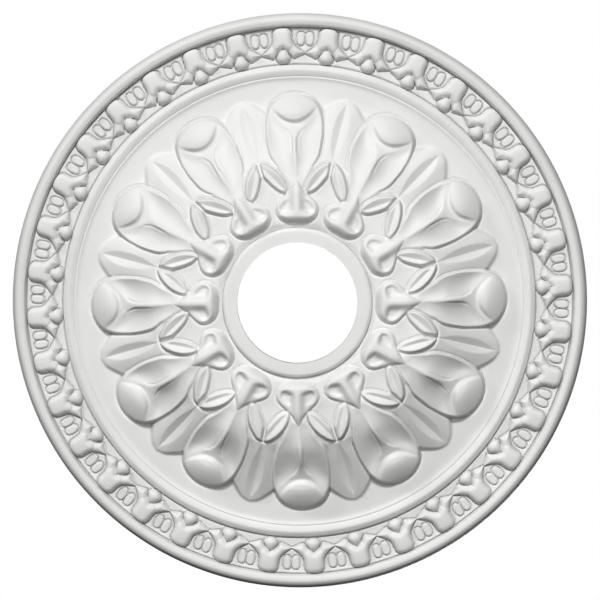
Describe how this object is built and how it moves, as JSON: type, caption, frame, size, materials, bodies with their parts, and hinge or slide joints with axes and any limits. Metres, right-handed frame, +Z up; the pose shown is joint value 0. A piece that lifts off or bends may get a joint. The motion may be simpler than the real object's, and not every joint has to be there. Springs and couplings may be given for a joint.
{
  "type": "ceiling rose",
  "caption": "Round moulded ceiling rose: a domed flower of broad petals round an open centre, set in a carved ring border.",
  "frame": {"origin": "centre of the flat back, on the ceiling plane", "axes": "+Z up into the ceiling, so the ornament faces -Z; +X along the axis of one petal"},
  "size_m": [0.47, 0.47, 0.046],
  "materials": {
    "primed_white": "moulded polyurethane foam with a matte white factory primer"
  },
  "bodies": {
    "root": {"ceiling_rose": "primed_white"}
  },
  "joints": []
}
